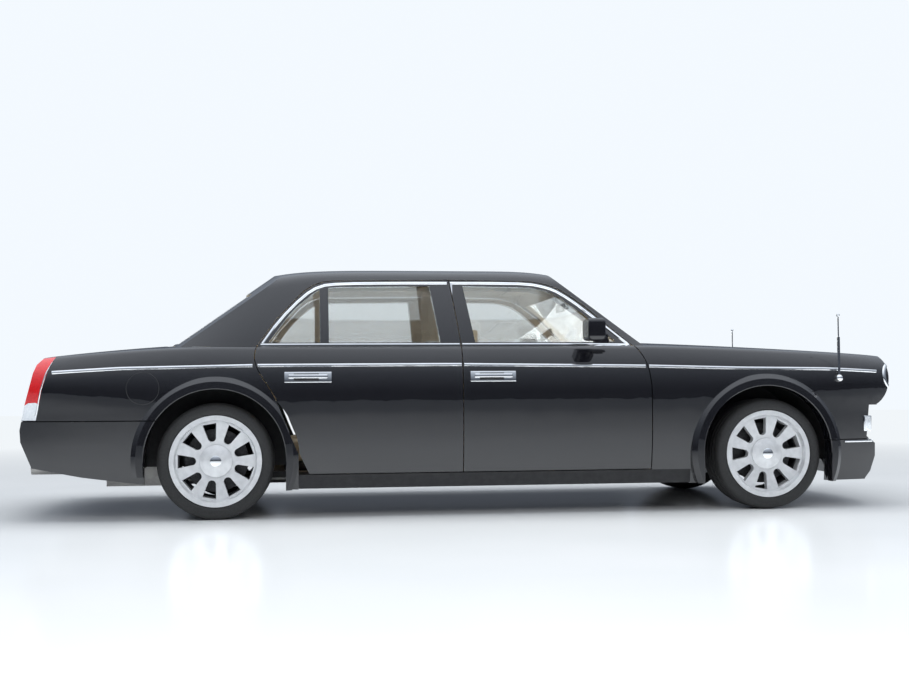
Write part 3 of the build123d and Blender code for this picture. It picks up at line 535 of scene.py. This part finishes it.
def ring_line(middle, height, radius):
    turns = [2 * pi * i / 48 for i in range(49)]
    return [(middle + radius * cos(a), height + radius * sin(a)) for a in turns]


nose_skin = surface_of("headlamps", "front_fenders")
for hand, side in sides:
    moulding(f"headlamp_ring_{hand}", nose_skin, 1, ring_line(side * ring_y, ring_z, ring_radius),
             0.013, 0.006, "car_body", chrome, 96, facing)
    moulding(f"tail_lamp_strip_{hand}", surface_of("tail_lamps"), side, tail_lamp_edge,
             0.008, 0.003, "car_body", chrome, 40)
moulding("boot_lid_strip", surface_of("boot_lid"), -1, lid_strip_line, 0.022, 0.008, "boot_lid",
         chrome, 60, facing)

# Fuel flap: a round painted lid, flush in the right rear quarter, of which only the
# fine shut line shows.
flap_x = -1.971
flap_z = 0.784
flap_radius = 0.095
moulding("fuel_flap_line", surface_of("rear_quarters"), -1, ring_line(flap_x, flap_z, flap_radius),
         0.0035, 0.0004, "car_body", black_and_recess_shade, 96)

# Radiator core: a dark block of fine upright fins, which stands behind the grille and
# shows between its bars.
core_x = 2.655
core_width = 0.60
fin_pitch = 0.0075
fin_depth = 0.008
mesh = bmesh.new()
bmesh.ops.create_cube(mesh, size=1)
bmesh.ops.scale(mesh, vec=(0.02, core_width, 0.44), verts=mesh.verts)
bmesh.ops.translate(mesh, vec=(core_x, 0, 0.68), verts=mesh.verts)
crossways = [e for e in mesh.edges if abs(e.verts[0].co.y - e.verts[1].co.y) > 0.1]
bmesh.ops.subdivide_edges(mesh, edges=crossways, cuts=79)
for v in mesh.verts:
    if v.co.x > core_x and round((v.co.y + 0.30) / fin_pitch) % 2:
        v.co.x -= fin_depth
shown("radiator_core", mesh, "car_body", black_and_recess_shade)

# Wipers: two dark blades that rest at the foot of the windscreen, one before each
# front seat.
wiper_lines = {"left": [(1.085, 0.60), (1.125, 0.30), (1.130, 0.02)],
               "right": [(1.120, -0.05), (1.125, -0.35), (1.085, -0.63)]}


def from_above(surface, side, x, y):
    hit, normal, _, _ = surface.ray_cast(Vector((x, y, 2.0)), Vector((0, 0, -1)))
    if hit is None:
        hit, normal, _, _ = surface.find_nearest(Vector((x, y, 1.1)))
    return hit, normal if normal.z > 0 else -normal


screen = surface_of("windscreen")
for name, line in wiper_lines.items():
    moulding(f"wiper_{name}", screen, 1, line, 0.014, 0.010, "car_body", black_and_recess_shade, 40, from_above)

# Grille, flag poles and exhaust: the first two in polished bright metal, the exhaust in
# plain steel pipe that has gone dull.
dress("grille", chrome)
dress("flag_poles", chrome)
steel = finish("exhaust_steel", (0.28, 0.27, 0.26), (0.38, 0.37, 0.35), 20, (0.25, 0.45), 0.1, 400,
               Metallic=1.0)
dress("exhaust", steel)

# Running gear: cast and forged parts with a dull sheen, bolted under the body. The
# engine and gearbox are one plain block.
cast = finish("cast_metal", (0.16, 0.16, 0.165), (0.26, 0.26, 0.27), 60, (0.4, 0.6), 0.3, 500,
              Metallic=0.8)
for node in ("engine", "front_subframe", "rear_subframe", "knuckle_right", "knuckle_left"):
    dress(node, cast)

# Door mirrors: painted shells, fixed to the front corners of the front doors, so they
# swing out with them.
for hand, side in sides:
    dress(f"mirror_{hand}", black_paint)

# Dashboard: leather over a moulded body, with a polished walnut band, two dark screens
# and bright air vents. The steering wheel is covered in soft dark plastic.
dark_trim = finish("soft_dark_plastic", (0.02, 0.018, 0.016), (0.032, 0.029, 0.026), 200, (0.45, 0.6),
                   0.3, 1200)
walnut = finish("polished_walnut", (0.055, 0.020, 0.008), (0.16, 0.065, 0.025), 9, (0.12, 0.2),
                stretch=(1, 0.25, 4), Coat_Weight=1.0)
dress("dashboard", leather)
dress("steering_wheel", dark_trim)


def fixed_box(name, size, bevel, spot, material):
    mesh = bevelled_box(size, bevel)
    bmesh.ops.translate(mesh, vec=spot, verts=mesh.verts)
    shown(name, mesh, "car_body", material)


fixed_box("walnut_band", (0.012, 1.52, 0.052), 0.004, (0.884, 0, 0.842), walnut)
fixed_box("middle_screen", (0.014, 0.30, 0.105), 0.005, (0.890, 0, 0.905), black_and_recess_shade)
fixed_box("instrument_screen", (0.014, 0.34, 0.095), 0.005, (0.892, 0.37, 0.912), black_and_recess_shade)
for i, y in enumerate((-0.70, -0.24, 0.10, 0.70)):
    fixed_box(f"air_vent_{i}", (0.012, 0.13, 0.045), 0.004, (0.893, y, 0.785), chrome)

# Inner mirror and sun visors: a dark plastic mirror shell on its foot under the
# windscreen's top, and two padded visors covered like the headliner.
fixed_box("inner_mirror", (0.022, 0.24, 0.060), 0.010, (0.765, 0, 1.330), dark_trim)
fixed_box("inner_mirror_foot", (0.060, 0.020, 0.018), 0.006, (0.795, 0, 1.335), dark_trim)
for hand, side in sides:
    fixed_box(f"sun_visor_{hand}", (0.17, 0.40, 0.018), 0.008, (0.52, side * 0.34, 1.468), lining)

# Seats: foam cushions and backs covered in beige leather, crowned, with sewn channels,
# on dark plastic bases; two seats in front and a bench with three places behind.
front_seat_y = 0.37
rear_seat_y = 0.385
cushion_tilt = radians(-5)
back_tilt = radians(-76)
headrest_tilt = radians(-88)
sewn_depth = 0.075


def cushion(name, centre, size, tilt, channels):
    mesh = bmesh.new()
    bmesh.ops.create_cube(mesh, size=1)
    bmesh.ops.scale(mesh, vec=size, verts=mesh.verts)
    bmesh.ops.subdivide_edges(mesh, edges=mesh.edges[:], cuts=17, use_grid_fill=True)
    half_length, half_width, half_height = (measure / 2 for measure in size)
    for v in mesh.verts:
        p = v.co.x / half_length
        q = v.co.y / half_width
        r = v.co.z / half_height
        crown = (1 - p ** 4) * (1 - q ** 4)
        pull = 1 - 0.05 * r * r
        v.co.x *= pull * (1 - 0.035 * q * q)
        v.co.y *= pull * (1 - 0.035 * p * p)
        lift = 0.80 + 0.20 * crown
        if r > 0.5 and channels and abs(q) < 0.84 and abs(p) < 0.84:
            lift -= sewn_depth * max(0, cos(q * pi * channels)) ** 12
        v.co.z *= lift
    placed = Matrix.Translation(centre) @ Matrix.Rotation(tilt, 4, "Y")
    bmesh.ops.transform(mesh, matrix=placed, verts=mesh.verts)
    pad = shown(name, mesh, "car_body", leather)
    pad.modifiers.remove(pad.modifiers["creases"])
    rounded = pad.modifiers.new("rounded", "SUBSURF")
    rounded.levels = rounded.render_levels = 1
    return pad


front_pads = []
rear_pads = []
for hand, side in sides:
    y = side * front_seat_y
    front_pads += [
        cushion(f"front_cushion_{hand}", (0.515, y, 0.400), (0.50, 0.50, 0.15), cushion_tilt, 4),
        cushion(f"front_back_{hand}", (0.145, y, 0.700), (0.60, 0.50, 0.13), back_tilt, 4),
        cushion(f"front_headrest_{hand}", (0.070, y, 1.075), (0.165, 0.245, 0.078), headrest_tilt, 0)]
    y = side * rear_seat_y
    rear_pads += [
        cushion(f"rear_cushion_{hand}", (-0.905, y, 0.400), (0.50, 0.40, 0.15), cushion_tilt, 3),
        cushion(f"rear_back_{hand}", (-1.275, y, 0.700), (0.60, 0.40, 0.13), back_tilt, 3),
        cushion(f"rear_headrest_{hand}", (-1.350, y * 0.98, 1.075), (0.165, 0.260, 0.078), headrest_tilt, 0)]
rear_pads += [
    cushion("rear_cushion_middle", (-0.905, 0, 0.395), (0.50, 0.36, 0.14), cushion_tilt, 0),
    cushion("rear_back_middle", (-1.275, 0, 0.690), (0.60, 0.36, 0.12), back_tilt, 0),
    cushion("rear_headrest_middle", (-1.350, 0, 1.060), (0.150, 0.220, 0.070), headrest_tilt, 0)]
for hand, side in sides:
    fixed_box(f"front_seat_base_{hand}", (0.44, 0.44, 0.06), 0.02, (0.49, side * front_seat_y, 0.292),
              dark_trim)
fixed_box("rear_seat_base", (0.44, 1.12, 0.06), 0.02, (-0.93, 0, 0.292), dark_trim)
for pad in front_pads:
    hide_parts("front_seats")
for pad in rear_pads:
    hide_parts("rear_seat")
